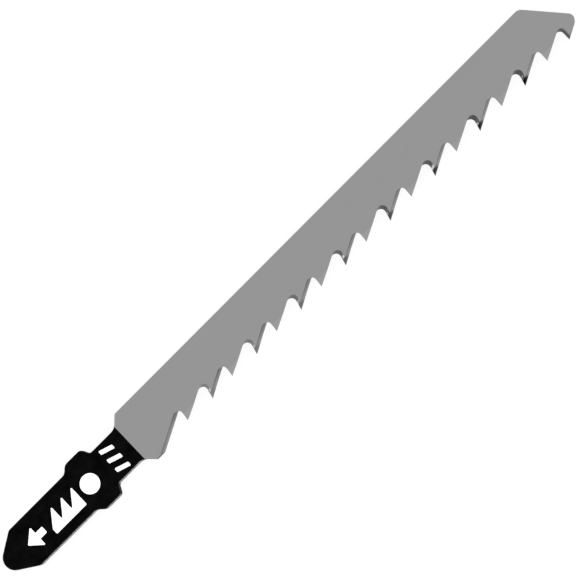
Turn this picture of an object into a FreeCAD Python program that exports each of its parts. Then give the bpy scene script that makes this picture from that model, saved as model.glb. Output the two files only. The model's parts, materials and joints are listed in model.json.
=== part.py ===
import FreeCAD, Part
import os
from math import cos, radians, sin, tan

from FreeCAD import Vector

# A jigsaw blade for wood: one strip of steel, with a bayonet shank at one end and set, bevel ground teeth.
# Sizes are in millimetres and angles in degrees. x runs from the shank to the front end, y across the
# strip with the teeth on its minus side, and z up through its thickness, as the blade lies flat. The
# origin is the middle of the bayonet lugs, on the centre line of the shank and on the strip's underside.
# The shape is worked out with z = 0 halfway through the thickness, and lifted at the end.

# The strip
overall_length = 100.3      # nose of the shank to the nose of the front end
thickness = 1.25
back_height = 3.99          # centre line of the shank to the straight back edge
edge_roll = 0.25            # rounding that stamping leaves along the shank's upper edges

# The shank: its width, its pointed nose, the lugs across it and the neck behind them
nose_to_lugs = 15.86        # nose to the middle of the lugs
shank_width = 6.17
nose_half_angle = 32.5
nose_radius = 1.65
nose_side_radius = 0.8
lug_width = 7.86
lug_length = 2.73           # between the corners of a lug's straight edge
lug_lead_angle = 43.0       # of the lug's side that faces the nose
lug_lead_radius = 1.0
lug_back_angle = 63.5       # of its side that faces the neck
lug_back_radius = 0.65
neck_width = 5.33
neck_end = 6.45             # middle of the lugs to where the neck opens out
shoulder_angle = 45.0
shoulder_radius = 1.5
lacquer_end = 6.7           # middle of the lugs to the end of the lacquer

# The toothed edge. Teeth are set to the upper and the lower side in turn, the first one upwards.
heel_depth = 3.95           # centre line to the heel, in front of the first tooth
tip_depth = 3.35            # centre line to the cutting tips
first_tip = 14.14           # middle of the lugs to the first tip
pitch = 4.0
flank_angle = 27.5          # long side of a tooth, against the cutting line
upper_rake_angle = 5.0      # short side of an upward tooth, leaning from square towards the shank
lower_rake_angle = 16.0     # and of a downward one, which is ground by another wheel
gullet_radius = 0.68
bevel_shift = 0.5           # how far a gullet's two ends differ along the blade, because it is cut aslant
tooth_set = 0.3             # how far a tip stands out sideways
bend_clearance = 0.15       # from a gullet's rounding down to the line where the crowns are bent

# The front end
end_reach = 2.0             # least distance from the last tip to the nose of the end
last_tip_cut = 0.2          # how much shorter the last tooth is ground than the others
last_rake_angle = 1.0       # and how its gullet differs: steeper, tighter and cut less aslant
last_gullet_radius = 0.55
last_bevel_shift = 0.32
end_angle = 50.8            # slant of the end, against the back edge
end_corner_radius = 1.1
end_nose_radius = 0.8
end_flank_angle = 27.5      # edge between the last tip and the nose of the end

nose_x = -nose_to_lugs
end_x = nose_x + overall_length
top_z = thickness / 2
below_y = -heel_depth - tip_depth    # where the gullets' cutters end, clear of the strip
tooth_count = int((end_x - end_reach - first_tip) / pitch) + 1
tips = [Vector(first_tip + number * pitch, -tip_depth, 0) for number in range(tooth_count)]
end_tip = tips[-1] + Vector(0, last_tip_cut, 0)
same_point = 1e-6           # points nearer to each other than this are one


def side_of(number):
    """The side that a tooth is set to, counted from 0: +1 up, -1 down."""
    return 1 if number % 2 == 0 else -1


def meet(point, angle, other_point, other_angle):
    """Where two lines cross, each given by a point and its angle from the x axis."""
    ahead = Vector(cos(radians(angle)), sin(radians(angle)), 0)
    across = Vector(-sin(radians(other_angle)), cos(radians(other_angle)), 0)
    return point + ahead * ((other_point - point).dot(across) / ahead.dot(across))


def at_height(point, angle, y):
    """The point at height y on the line through a point at an angle from the x axis."""
    return meet(point, angle, Vector(0, y, 0), 0)


def rounded_wire(corners):
    """A closed wire through corners (point, radius), with an arc that touches both sides at each.

    An arc reaches no further than halfway along the shorter of its two sides.
    """
    stretches = []
    for index, (corner, wanted_radius) in enumerate(corners):
        before = corners[index - 1][0] - corner
        after = corners[(index + 1) % len(corners)][0] - corner
        half_angle = before.getAngle(after) / 2
        reach = min(wanted_radius / tan(half_angle), before.Length / 2, after.Length / 2)
        radius = reach * tan(half_angle)
        before.normalize()
        after.normalize()
        middle = corner + (before + after).normalize() * (radius / sin(half_angle) - radius)
        stretches.append((corner + before * reach, middle, corner + after * reach, radius))
    edges = []
    for index, (start, middle, end, radius) in enumerate(stretches):
        if radius:
            edges.append(Part.Arc(start, middle, end).toShape())
        next_start = stretches[(index + 1) % len(stretches)][0]
        if not end.isEqual(next_start, same_point):
            edges.append(Part.LineSegment(end, next_start).toShape())
    return Part.Wire(edges)


def nose_point():
    """Where the two sides of the shank's nose would meet if it weren't rounded."""
    return nose_x - nose_radius * (1 / sin(radians(nose_half_angle)) - 1)


def shank_side(side):
    """Corners of one side of the shank, from its nose to the neck's end. Side +1 has the back edge."""
    half_shank, half_lug, half_neck = shank_width / 2, lug_width / 2, neck_width / 2
    lead_start = -lug_length / 2 - (half_lug - half_shank) / tan(radians(lug_lead_angle))
    neck_start = lug_length / 2 + (half_lug - half_neck) / tan(radians(lug_back_angle))
    corners = [
        (nose_point() + half_shank / tan(radians(nose_half_angle)), half_shank, nose_side_radius),
        (lead_start, half_shank, lug_lead_radius),
        (-lug_length / 2, half_lug, lug_lead_radius),
        (lug_length / 2, half_lug, lug_back_radius),
        (neck_start, half_neck, lug_back_radius),
        (neck_end, half_neck, shoulder_radius),
    ]
    return [(Vector(x, side * y, 0), radius) for x, y, radius in corners]


def shoulder_x(depth):
    """Where the shoulder's slope from the neck reaches a depth from the centre line."""
    return neck_end + (depth - neck_width / 2) / tan(radians(shoulder_angle))


def end_corners():
    """The end's corner at the back edge, its nose, and where its flank meets the heel's line.

    The nose's arc touches the flank and the line x = end_x, and the slanted edge touches the arc.
    """
    flank_turn, slant_turn = radians(end_flank_angle), radians(end_angle)
    beside_flank = end_tip + Vector(-sin(flank_turn), cos(flank_turn), 0) * end_nose_radius
    nose_centre = meet(beside_flank, end_flank_angle, Vector(end_x - end_nose_radius, 0, 0), 90)
    slanted = nose_centre + Vector(sin(slant_turn), cos(slant_turn), 0) * end_nose_radius
    return [(at_height(slanted, -end_angle, back_height), end_corner_radius),
            (meet(slanted, -end_angle, end_tip, end_flank_angle), end_nose_radius),
            (at_height(end_tip, end_flank_angle, -heel_depth), 0)]


def stamped_strip():
    """The strip as it is stamped, still without teeth, its shank's upper edges rolled over."""
    corners = [(Vector(nose_point(), 0, 0), nose_radius)] + shank_side(1)
    corners += [(Vector(shoulder_x(back_height), back_height, 0), 0)] + end_corners()
    corners += [(Vector(shoulder_x(heel_depth), -heel_depth, 0), 0)] + shank_side(-1)[::-1]
    sheet = Part.Face(rounded_wire(corners))
    sheet.translate(Vector(0, 0, -top_z))
    strip = sheet.extrude(Vector(0, 0, thickness))
    shank_end = shoulder_x(max(back_height, heel_depth)) + edge_roll
    rolled = [edge for edge in strip.Edges
              if edge.BoundBox.ZMin > top_z / 2 and edge.BoundBox.XMax < shank_end]
    return strip.makeFillet(edge_roll, rolled)


def gullet_cut(number):
    """Of the gullet in front of a tooth: its rake line's angle from the x axis, its radius and shift."""
    if number == tooth_count - 1:
        return 90 - last_rake_angle, last_gullet_radius, last_bevel_shift
    rake_angle = upper_rake_angle if side_of(number) > 0 else lower_rake_angle
    return 90 - rake_angle, gullet_radius, bevel_shift


def slant(side, z, shift):
    """How far the cut in front of a tooth lies behind its tip at height z, because it runs aslant.

    It is nothing on the face that the tooth is set towards, so that the cutting tip keeps its place.
    """
    return Vector(shift * (0.5 - side * z / thickness), 0, 0)


def gullet_corner(number, z):
    """Where the flank before a tooth would meet its rake line at height z, without the rounding."""
    side, before = side_of(number), tips[number] - Vector(pitch, 0, 0)
    rake_angle, _, shift = gullet_cut(number)
    flank, rake = before - slant(-side, z, shift), tips[number] + slant(side, z, shift)
    return meet(flank, flank_angle, rake, rake_angle)


def bend_line():
    """Height y of the line where the crowns are bent, below the rounding of every gullet."""
    ends = []
    for number in range(tooth_count):
        rake_angle, radius, _ = gullet_cut(number)
        reach = radius / tan(radians(rake_angle - flank_angle) / 2)
        ends.append(gullet_corner(number, 0).y - reach * sin(radians(rake_angle)))
    return min(ends) - bend_clearance


def gullet(number):
    """The cutter of the gullet in front of a tooth, swept aslant through the strip."""
    side, corner = side_of(number), gullet_corner(number, -thickness)
    rake_angle, radius, shift = gullet_cut(number)
    profile = rounded_wire([(at_height(corner, flank_angle, below_y), 0),
                            (corner, radius),
                            (at_height(corner, rake_angle, below_y), 0)])
    face = Part.Face(profile)
    face.translate(Vector(0, 0, -thickness))
    sweep = slant(side, thickness, shift) - slant(side, -thickness, shift)
    return face.extrude(sweep + Vector(0, 0, 2 * thickness))


def crown_section(number, z):
    """Rake foot, tip and flank foot of a tooth's crown on the face at height z, leaned over by the set."""
    side = side_of(number)
    rake_angle, _, shift = gullet_cut(number)
    rake = tips[number] + slant(side, z, shift)
    if number == tooth_count - 1:
        flank, angle = end_tip, end_flank_angle
    else:
        _, _, next_shift = gullet_cut(number + 1)
        flank, angle = tips[number] - slant(side, z, next_shift), flank_angle
    bend_y = bend_line()
    section = [at_height(rake, rake_angle, bend_y), meet(rake, rake_angle, flank, angle),
               at_height(flank, angle, bend_y)]
    lean = side * tooth_set / (bend_y + tip_depth)
    return [Vector(point.x, point.y, z + lean * (bend_y - point.y)) for point in section]


def crown(number):
    """The bent crown of one tooth below the bend line, a wedge between its sections on both faces."""
    lower, upper = crown_section(number, -top_z), crown_section(number, top_z)
    walls = [lower, upper]
    for index in range(len(lower)):
        walls.append([lower[index - 1], lower[index], upper[index], upper[index - 1]])
    faces = [Part.Face(Part.makePolygon(wall + wall[:1])) for wall in walls]
    wedge = Part.makeSolid(Part.makeShell(faces))
    if wedge.Volume < 0:
        wedge.reverse()
    return wedge


def blade():
    """The whole blade, with its faces parted along the line where the lacquer ends."""
    room = 2 * overall_length
    crowns_start = Vector(tips[0].x - gullet_radius, bend_line() - room, -room / 2)
    crown_space = Part.makeBox(room, room, room, crowns_start)
    gullets = [gullet(number) for number in range(tooth_count)]
    crowns = [crown(number) for number in range(tooth_count)]
    toothed = stamped_strip().cut([crown_space] + gullets).fuse(crowns).removeSplitter()
    lacquered = Part.makeBox(room, room, room, Vector(lacquer_end - room, -room / 2, -room / 2))
    parted = toothed.common(lacquered).fuse(toothed.cut(lacquered))
    parted.translate(Vector(0, 0, top_z))
    return parted


os.makedirs("parts", exist_ok=True)
blade().exportStep("parts/blade.step")
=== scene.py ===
import json
from math import pi, radians

import bpy
import numpy as np
from mathutils import Matrix, Vector


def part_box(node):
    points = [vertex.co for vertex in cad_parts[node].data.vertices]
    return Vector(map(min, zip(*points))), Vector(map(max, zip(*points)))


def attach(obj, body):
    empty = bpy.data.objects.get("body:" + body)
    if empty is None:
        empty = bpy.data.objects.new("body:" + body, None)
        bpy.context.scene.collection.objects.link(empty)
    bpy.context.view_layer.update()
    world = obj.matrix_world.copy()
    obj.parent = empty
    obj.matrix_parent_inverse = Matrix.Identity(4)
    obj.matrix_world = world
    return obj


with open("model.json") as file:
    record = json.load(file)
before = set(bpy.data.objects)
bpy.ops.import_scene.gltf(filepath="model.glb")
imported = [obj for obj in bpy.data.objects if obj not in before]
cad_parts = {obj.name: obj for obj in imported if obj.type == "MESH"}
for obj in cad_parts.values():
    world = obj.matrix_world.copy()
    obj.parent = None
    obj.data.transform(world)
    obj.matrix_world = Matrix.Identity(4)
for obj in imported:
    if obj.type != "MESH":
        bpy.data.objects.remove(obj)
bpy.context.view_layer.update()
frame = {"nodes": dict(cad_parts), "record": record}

# A jigsaw blade lying flat: x from the shank to the front end, the teeth on the minus side of y, z up.
# The origin is the middle of the bayonet lugs, on the underside. Lengths are in metres.
mm = 0.001
floor_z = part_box("blade")[0].z  # the lowest tooth tips stand on the floor
mounts = {mount["name"]: mount for mount in frame["record"]["mounts"]}
face_z = mounts["shank_upper_face"]["pos_m"][2]

# Where the finishes of the blade begin and end
lacquer_end = 6.7 * mm          # the lacquer covers all that is behind this
heel_end = 8.6 * mm             # the ground gullets begin in front of this
last_tip = 82.2 * mm            # and end behind this
heel_bottom = -3.9 * mm         # edges below this are the heel's, which are only stamped
flat_slope = 0.9                # faces whose normal has a larger z than this are the strip's two sides

# The print: flat marks of ink on the shank's upper face
ink_height = 0.02 * mm          # how far the ink stands above the lacquer
ink_root = 0.05 * mm            # how far its plates reach into the strip
mark_height = 3.15 * mm         # across the shank
mark_y = -0.15 * mm             # the line that they stand around, a little off the shank's middle
mark_round = 0.12 * mm          # rounding of the marks' corners

# The picture: the blade is rolled about its length, turned, and then tipped about the picture's upright
# and level middle lines, all in degrees
blade_roll, picture_turn, upright_tip, level_tip = -7, 44.98, -3.99, 0.51
picture_centre = Vector((34.893 * mm, -0.444 * mm, 0))
picture_width = 579             # pixels
picture_scale = 7.863 / mm      # pixels for each metre of the blade
camera_distance = 280 * mm


# Geometry

def mesh_piece(name, points, faces, material):
    """Puts points and faces into a new mesh object at the origin."""
    mesh = bpy.data.meshes.new(name)
    mesh.from_pydata(points.tolist(), [], [tuple(face) for face in faces])
    mesh.update()
    mesh.materials.append(material)
    piece = bpy.data.objects.new(name, mesh)
    bpy.context.scene.collection.objects.link(piece)
    return piece


def rounded_outline(corners, radius, steps=5):
    """A polygon, anticlockwise, with an arc of the given radius at each corner.

    The centre of an arc lies on the corner's bisector, at radius / sin(half the corner's angle), outside
    the polygon where it turns inwards. The arc runs from the direction square to the side before the
    corner to the one square to the side after it.
    """
    corners = np.asarray(corners, float)
    side = np.roll(corners, -1, axis=0) - corners
    side /= np.linalg.norm(side, axis=1)[:, None]
    arriving, leaving = np.roll(side, 1, axis=0), side
    turn = np.arctan2(arriving[:, 0] * leaving[:, 1] - arriving[:, 1] * leaving[:, 0],
                      (arriving * leaving).sum(1))
    bend = np.sign(turn)
    first = np.arctan2(-arriving[:, 0] * bend, arriving[:, 1] * bend)
    bisector = leaving - arriving
    bisector /= np.linalg.norm(bisector, axis=1)[:, None]
    centre = corners + bisector * (radius / np.cos(turn / 2))[:, None]
    angle = first[:, None] + turn[:, None] * np.linspace(0, 1, steps)[None, :]
    arc = np.stack([np.cos(angle), np.sin(angle)], axis=2) * radius
    return (centre[:, None, :] + arc).reshape(-1, 2)


def disc_outline(centre, radius, steps=48):
    """A circle: the centre plus the radius in each of the evenly spaced directions."""
    angle = np.linspace(0, 2 * pi, steps, endpoint=False)
    return np.asarray(centre) + radius * np.stack([np.cos(angle), np.sin(angle)], axis=1)


def ink_marks(name, outlines, material):
    """Closed plates of ink. Each is its outline carried from inside the strip to just above its face."""
    points, faces, start = [], [], 0
    for outline in outlines:
        count = len(outline)
        for z in (face_z - ink_root, face_z + ink_height):
            points.append(np.column_stack([outline, np.full(count, z)]))
        index = np.arange(count) + start
        above = index + count
        faces += [index[::-1], above]
        faces += list(np.column_stack([index, np.roll(index, -1), np.roll(above, -1), above]))
        start += 2 * count
    return mesh_piece(name, np.concatenate(points), faces, material)


def arrow_outline(tip_x, length, head, stem):
    """An arrow that points to the shank's nose: a triangular head as high as the marks, and a stem."""
    half, half_stem = mark_height / 2, stem / 2
    return [(tip_x, 0), (tip_x + head, -half), (tip_x + head, -half_stem), (tip_x + length, -half_stem),
            (tip_x + length, half_stem), (tip_x + head, half_stem), (tip_x + head, half)]


def saw_outline(start_x, tooth, count, bar):
    """A little saw: a bar along the lower side of the marks with a row of right-angled teeth on it."""
    half = mark_height / 2
    outline = [(start_x, -half), (start_x + tooth * count, -half)]
    for number in reversed(range(count)):
        foot = start_x + tooth * number
        outline += [(foot + tooth, half), (foot, bar - half)]
    return outline


def bar_outline(start_x, end_x, start_y, width, slant):
    """A bar along the shank whose far end lies lower by the slant."""
    end_y = start_y - slant
    return [(start_x, start_y), (end_x, end_y), (end_x, end_y + width), (start_x, start_y + width)]


# Materials

# The middle range of a noise, which holds nearly all its values
noise_range = {"From Min": 0.3, "From Max": 0.7}

# In a Mix node for colours, input 0 is the second colour's share, and these are the numbers of its
# colours and of its result
first_colour, second_colour, mixed = 6, 7, 2


def colour(code):
    """A linear colour from an sRGB hex value."""
    levels = np.array([int(code[place:place + 2], 16) for place in (1, 3, 5)]) / 255
    linear = np.where(levels > 0.04045, ((levels + 0.055) / 1.055) ** 2.4, levels / 12.92)
    return (*linear.tolist(), 1.0)


def set_inputs(tree, node, inputs):
    """Sets a node's inputs, by name or number, as values or as links."""
    for name, value in inputs.items():
        if isinstance(value, bpy.types.NodeSocket):
            tree.links.new(value, node.inputs[name])
        else:
            node.inputs[name].default_value = value


def add(tree, kind, inputs, **settings):
    """Adds a node with its settings and inputs, and gives its outputs."""
    node = tree.nodes.new("ShaderNode" + kind)
    for name, value in settings.items():
        setattr(node, name, value)
    set_inputs(tree, node, inputs)
    return node.outputs


def new_material(name):
    """A new material, with its node tree and its Principled shader."""
    material = bpy.data.materials.new(name)
    material.use_nodes = True
    return material, material.node_tree, material.node_tree.nodes["Principled BSDF"]


def streaks(tree, place, sizes, detail=3.0):
    """Noise whose grains have the given sizes along x, y and z, in metres."""
    scaled = add(tree, "Mapping", {"Vector": place, "Scale": [1 / size for size in sizes]})[0]
    return add(tree, "TexNoise", {"Vector": scaled, "Scale": 1.0, "Detail": detail})["Fac"]


def mottled(tree, noise, first, second):
    """A colour that wanders between two, given as hex values, as a noise does."""
    share = add(tree, "MapRange", {"Value": noise, **noise_range})[0]
    colours = {0: share, first_colour: colour(first), second_colour: colour(second)}
    return add(tree, "Mix", colours, data_type="RGBA")[mixed]


def ground_strip_steel():
    """High-carbon steel strip, belt ground along its length: an even satin grey with faint long lines.

    The belt's lines are about 0.03 mm apart, too fine for the render, and are drawn 0.12 mm apart.
    """
    material, tree, shader = new_material("ground_strip_steel")
    place = add(tree, "TexCoord", {})["Object"]
    lines = streaks(tree, place, (14 * mm, 0.12 * mm, 0.12 * mm))
    clouds = streaks(tree, place, (9 * mm, 3 * mm, 3 * mm), detail=2.0)
    satin = add(tree, "MapRange", {"Value": clouds, **noise_range, "To Min": 0.36, "To Max": 0.42})[0]
    bump = add(tree, "Bump", {"Height": lines, "Strength": 0.12, "Distance": 0.01 * mm})[0]
    set_inputs(tree, shader, {"Base Color": mottled(tree, lines, "#8d8d8d", "#8f8f8f"),
                              "Metallic": 1.0, "Roughness": satin, "Normal": bump})
    return material


def long_side_shade(tree, lines, y, z):
    """The long sides of the teeth: light, darker towards the upper face, in a band that painted shade
    widens by the gullets.
    """
    near_face = add(tree, "MapRange", {"Value": z, "From Min": 0.6 * mm, "From Max": 1.1 * mm,
                                       "To Max": 0.55})[0]
    # Painted shade: the dark band widens towards the gullets
    near_gullet = add(tree, "MapRange", {"Value": y, "From Min": -2.4 * mm, "From Max": -1.2 * mm,
                                         "To Max": 0.45})[0]
    rim_band_with_painted_shade = add(tree, "Math", {0: near_face, 1: near_gullet}, operation="ADD")[0]
    return add(tree, "Mix", {0: rim_band_with_painted_shade, first_colour: mottled(tree, lines, "#7a7a7a", "#8a8a8a"),
                             second_colour: colour("#303030")}, data_type="RGBA")[mixed]


def painted_gullet_shade(tree, place, x, y):
    """The gullets and short sides: darkened with painted shade in blotches, more so towards the front end.

    Some teeth have a painted highlight along the crease where the crown is bent.
    """
    blotches = streaks(tree, place, (0.5 * mm, 0.35 * mm, 0.5 * mm))
    uneven = add(tree, "MapRange", {"Value": blotches, **noise_range, "To Min": -0.2, "To Max": 0.3})[0]
    forward = add(tree, "MapRange", {"Value": x, "From Min": 15 * mm, "From Max": 50 * mm,
                                     "To Max": 0.7})[0]
    painted_shade_depth = add(tree, "Math", {0: forward, 1: uneven}, operation="ADD")[0]
    # Painted shade: the gullets and short sides are darkened in blotches, more towards the front end
    painted_dark = add(tree, "Mix", {0: painted_shade_depth, first_colour: colour("#6c6c6c"), second_colour: colour("#1e1e1e")},
                data_type="RGBA")[mixed]
    # A painted highlight on the crease where a crown is bent, on some teeth
    begun = add(tree, "MapRange", {"Value": y, "From Min": -2.25 * mm, "From Max": -2.35 * mm})[0]
    ended = add(tree, "MapRange", {"Value": y, "From Min": -2.6 * mm, "From Max": -2.7 * mm})[0]
    crease = add(tree, "Math", {0: begun, 1: ended}, operation="SUBTRACT")[0]
    patches = streaks(tree, place, (3 * mm, 1 * mm, 1 * mm))
    some_teeth = add(tree, "MapRange", {"Value": patches, "From Min": 0.45, "From Max": 0.55})[0]
    painted_glint = add(tree, "Math", {0: crease, 1: some_teeth}, operation="MULTIPLY")[0]
    return add(tree, "Mix", {0: painted_glint, first_colour: painted_dark, second_colour: colour("#d0d0d0")},
               data_type="RGBA")[mixed]


def painted_crown_shade(tree, x, y):
    """How much painted shade darkens a crown: none on the heel, and all of it on the front third of the
    teeth.
    """
    past_heel = add(tree, "MapRange", {"Value": x, "From Min": 12.5 * mm, "From Max": 13.5 * mm,
                                       "To Max": 0.3})[0]
    forward = add(tree, "MapRange", {"Value": x, "From Min": 20 * mm, "From Max": 60 * mm,
                                     "To Max": 0.7})[0]
    share = add(tree, "Math", {0: past_heel, 1: forward}, operation="ADD")[0]
    near_tip = add(tree, "MapRange", {"Value": y, "From Min": -2.6 * mm, "From Max": -2.8 * mm})[0]
    return add(tree, "Math", {0: near_tip, 1: share}, operation="MULTIPLY")[0]


def wheel_ground_steel():
    """The teeth's bevels, cut by a coarse wheel that passed through the thickness, with short fine lines.

    The long sides are light, darker towards the upper face, and the sides that face the shank, with the
    gullets, carry painted shade. The crowns carry the darkest painted shade, and towards the front end
    painted shade dims their sheen too. The grit's lines are about 0.06 mm apart, drawn 0.15 mm apart.
    """
    material, tree, shader = new_material("wheel_ground_steel")
    surface = add(tree, "TexCoord", {})
    place = surface["Object"]
    x, y, z = add(tree, "SeparateXYZ", {"Vector": place})
    lines = streaks(tree, place, (0.15 * mm, 0.15 * mm, 2.5 * mm))
    facing = add(tree, "SeparateXYZ", {"Vector": surface["Normal"]})["X"]
    # Painted shade goes on the sides that face the shank and on the gullets; the long sides stay light
    short_side = add(tree, "MapRange", {"Value": facing, "From Min": 0.35, "From Max": 0.05})[0]
    body = add(tree, "Mix", {0: short_side, first_colour: long_side_shade(tree, lines, y, z),
                             second_colour: painted_gullet_shade(tree, place, x, y)}, data_type="RGBA")[mixed]
    # Painted shade: the crowns darken to nearly black, more towards the front end
    crown = painted_crown_shade(tree, x, y)
    shade = add(tree, "Mix", {0: crown, first_colour: body, second_colour: colour("#0c0c0c")},
                data_type="RGBA")[mixed]
    # Painted shade on the crowns' sheen as well, which dims it towards the front end
    forward = add(tree, "MapRange", {"Value": x, "From Min": 30 * mm, "From Max": 75 * mm})[0]
    painted_crown_sheen_shade = add(tree, "Math", {0: crown, 1: forward}, operation="MULTIPLY")[0]
    sheen = add(tree, "Mix", {0: painted_crown_sheen_shade, first_colour: colour("#f6f6f6"), second_colour: colour("#b4b4b4")},
                data_type="RGBA")[mixed]
    bump = add(tree, "Bump", {"Height": lines, "Strength": 0.3, "Distance": 0.02 * mm})[0]
    set_inputs(tree, shader, {"Base Color": shade, "Metallic": 1.0, "Roughness": 0.34,
                              "Specular Tint": sheen, "Normal": bump})
    return material


def sheared_steel():
    """The stamped edges: a smooth sheared band near the upper face, and a dull, torn one below it.

    The tears also dim the sheen that steel has at a low angle.
    """
    material, tree, shader = new_material("sheared_steel")
    place = add(tree, "TexCoord", {})["Object"]
    tears = streaks(tree, place, (0.2 * mm, 0.2 * mm, 0.6 * mm))
    height = add(tree, "SeparateXYZ", {"Vector": place})["Z"]
    ragged = add(tree, "Math", {0: tears, 1: 0.3 * mm, 2: height}, operation="MULTIPLY_ADD")[0]
    sheared = add(tree, "MapRange", {"Value": ragged, "From Min": 0.95 * mm, "From Max": 1.0 * mm})[0]
    shade = add(tree, "Mix", {0: sheared, first_colour: colour("#5f5f5f"),
                              second_colour: colour("#7e7e7e")}, data_type="RGBA")[mixed]
    roughness = add(tree, "MapRange", {"Value": sheared, "To Min": 0.5, "To Max": 0.3})[0]
    bump = add(tree, "Bump", {"Height": tears, "Strength": 0.4, "Distance": 0.03 * mm})[0]
    set_inputs(tree, shader, {"Base Color": shade, "Metallic": 1.0, "Roughness": roughness,
                              "Specular Tint": colour("#cccccc"), "Normal": bump})
    return material


def shank_lacquer():
    """Black stoving lacquer on the shank, dipped: deep black, with a faint uneven sheen.

    On the long stamped edges a mottled grey is painted, as a painted reflection of the light that the
    lacquer's sheen catches there.
    """
    material, tree, shader = new_material("shank_lacquer")
    surface = add(tree, "TexCoord", {})
    clouds = streaks(tree, surface["Object"], (1.6 * mm, 1.2 * mm, 1.2 * mm))
    spots = streaks(tree, surface["Object"], (0.3 * mm, 0.2 * mm, 0.3 * mm))
    facing = add(tree, "SeparateXYZ", {"Vector": surface["Normal"]})["Y"]
    sideways = add(tree, "Math", {0: facing}, operation="ABSOLUTE")[0]
    # Painted reflection: the side walls that face along y get a mottled grey, as their sheen would catch
    # the light
    painted_edge_reflection = add(tree, "MapRange", {"Value": sideways, "From Min": 0.8, "From Max": 0.95})[0]
    shade = add(tree, "Mix", {0: painted_edge_reflection, first_colour: mottled(tree, clouds, "#000000", "#080808"),
                              second_colour: mottled(tree, spots, "#161616", "#989898")},
                data_type="RGBA")[mixed]
    sheen = add(tree, "MapRange", {"Value": clouds, **noise_range, "To Min": 0.34, "To Max": 0.46})[0]
    bump = add(tree, "Bump", {"Height": clouds, "Strength": 0.05, "Distance": 0.02 * mm})[0]
    set_inputs(tree, shader, {"Base Color": shade, "Roughness": sheen, "Specular IOR Level": 0.02,
                              "Normal": bump})
    return material


def printing_ink():
    """White two-component printing ink: matt and nearly opaque, with a faint grain from the pad."""
    material, tree, shader = new_material("printing_ink")
    place = add(tree, "TexCoord", {})["Object"]
    grain = streaks(tree, place, (0.3 * mm, 0.3 * mm, 0.3 * mm))
    bump = add(tree, "Bump", {"Height": grain, "Strength": 0.15, "Distance": 0.01 * mm})[0]
    set_inputs(tree, shader, {"Base Color": mottled(tree, grain, "#f2f2f1", "#fcfcfb"),
                              "Roughness": 0.55, "Normal": bump})
    return material


def white_acrylic():
    """The floor: a sheet of matt white acrylic, lit from below so that nothing casts a shadow on it."""
    material, tree, shader = new_material("white_acrylic")
    set_inputs(tree, shader, {"Base Color": colour("#595959"), "Roughness": 0.9, "Specular IOR Level": 0.0,
                              "Emission Color": colour("#ffffff"), "Emission Strength": 0.9})
    return material


# The blade's finishes

def finish_blade():
    """Gives each face of the blade its finish, by where it lies and which way it looks."""
    blade = frame["nodes"]["blade"]
    faces = blade.data.polygons
    centre, normal = np.empty(len(faces) * 3), np.empty(len(faces) * 3)
    faces.foreach_get("center", centre)
    faces.foreach_get("normal", normal)
    x, y = centre.reshape(-1, 3)[:, :2].T
    edge = np.abs(normal.reshape(-1, 3)[:, 2]) < flat_slope
    ground = edge & (x > heel_end) & (x < last_tip) & (y < 0) & (y > heel_bottom)
    finishes = [ground_strip_steel(), shank_lacquer(), wheel_ground_steel(), sheared_steel()]
    strip, lacquer, bevel, stamped = range(len(finishes))
    choice = np.select([x < lacquer_end, ground, edge], [lacquer, bevel, stamped], default=strip)
    blade.data.materials.clear()
    for material in finishes:
        blade.data.materials.append(material)
    faces.foreach_set("material_index", choice.astype(np.int32))
    blade.data.update()


# The print

def print_shank():
    """Plain marks: an arrow towards the nose, a little saw and a dot on the shank, and bars on the neck."""
    ink = printing_ink()
    arrow = arrow_outline(tip_x=-11.9 * mm, length=3.0 * mm, head=1.8 * mm, stem=1.0 * mm)
    saw = saw_outline(start_x=-8.1 * mm, tooth=1.8 * mm, count=3, bar=0.8 * mm)
    outlines = [rounded_outline(corners, mark_round) for corners in (arrow, saw)]
    outlines.append(disc_outline(centre=(-0.6 * mm, 0), radius=1.35 * mm))
    outlines = [outline + (0, mark_y) for outline in outlines]
    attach(ink_marks("shank_print", outlines, ink), "root")
    bars = [bar_outline(start_x=3.0 * mm, end_x=4.9 * mm, start_y=start_y, width=0.6 * mm, slant=0.6 * mm)
            for start_y in (1.44 * mm, -0.08 * mm, -1.6 * mm)]
    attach(ink_marks("neck_print", [rounded_outline(bar, mark_round) for bar in bars], ink), "root")


# The studio

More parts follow.
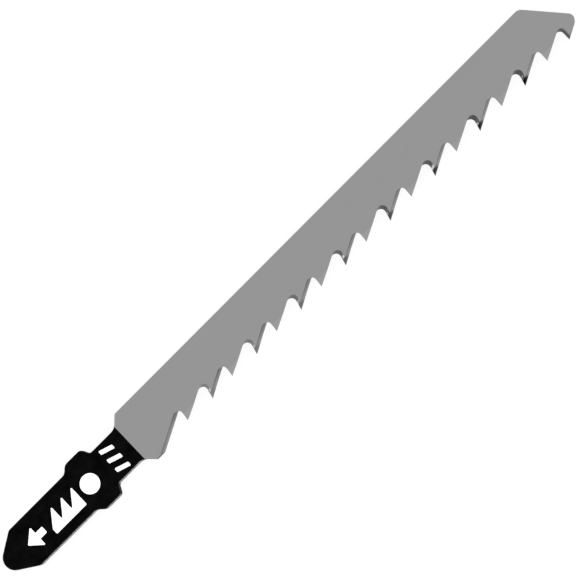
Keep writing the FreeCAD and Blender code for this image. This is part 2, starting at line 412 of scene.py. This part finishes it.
def lay_floor():
    """A wide sheet under the lowest tooth tips."""
    reach = 2.0
    corners = [(-reach, -reach), (reach, -reach), (reach, reach), (-reach, reach)]
    points = np.column_stack([corners, np.full(len(corners), floor_z)])
    mesh_piece("floor", points, [(0, 1, 2, 3)], white_acrylic())


def set_camera():
    """A long lens above the blade, a little over on the teeth's side. The shank is at the lower left."""
    turn = (Matrix.Rotation(radians(level_tip), 3, "X") @ Matrix.Rotation(radians(upright_tip), 3, "Y")
            @ Matrix.Rotation(radians(picture_turn), 3, "Z") @ Matrix.Rotation(radians(blade_roll), 3, "X"))
    back = turn.transposed()
    lens = bpy.data.cameras.new("camera")
    lens.lens = picture_scale * camera_distance / picture_width * lens.sensor_width
    lens.clip_start = 10 * mm
    camera = bpy.data.objects.new("camera", lens)
    stand = picture_centre + back @ Vector((0, 0, camera_distance))
    camera.matrix_world = Matrix.Translation(stand) @ back.to_4x4()
    bpy.context.scene.collection.objects.link(camera)
    bpy.context.scene.camera = camera


def soft_box(name, place, aim, width, height, power):
    """A soft rectangular light at a place, which faces the point that it is aimed at."""
    light = bpy.data.lights.new(name, "AREA")
    light.shape = "RECTANGLE"
    light.size, light.size_y, light.energy = width, height, power
    box = bpy.data.objects.new(name, light)
    facing = (Vector(aim) - Vector(place)).to_track_quat("-Z", "Y")
    box.matrix_world = Matrix.Translation(place) @ facing.to_matrix().to_4x4()
    bpy.context.scene.collection.objects.link(box)


def light_studio():
    """An even white tent that is dimmer overhead, and one soft box low on the teeth's side."""
    world = bpy.data.worlds.new("tent")
    bpy.context.scene.world = world
    world.use_nodes = True
    tree = world.node_tree
    direction = add(tree, "TexCoord", {})["Generated"]
    rise = add(tree, "SeparateXYZ", {"Vector": direction})["Z"]
    level = add(tree, "MapRange", {"Value": rise, "From Min": 0.4, "From Max": 0.75, "To Min": 1.8,
                                   "To Max": 1.1}, interpolation_type="SMOOTHSTEP")[0]
    set_inputs(tree, tree.nodes["Background"], {"Color": colour("#ffffff"), "Strength": level})
    soft_box("edge_light", place=(0.03, -0.45, 0.16), aim=(34 * mm, 0, 0), width=0.5, height=0.15,
             power=0.4)
    bpy.context.scene.view_settings.view_transform = "Standard"


finish_blade()
print_shank()
lay_floor()
set_camera()
light_studio()
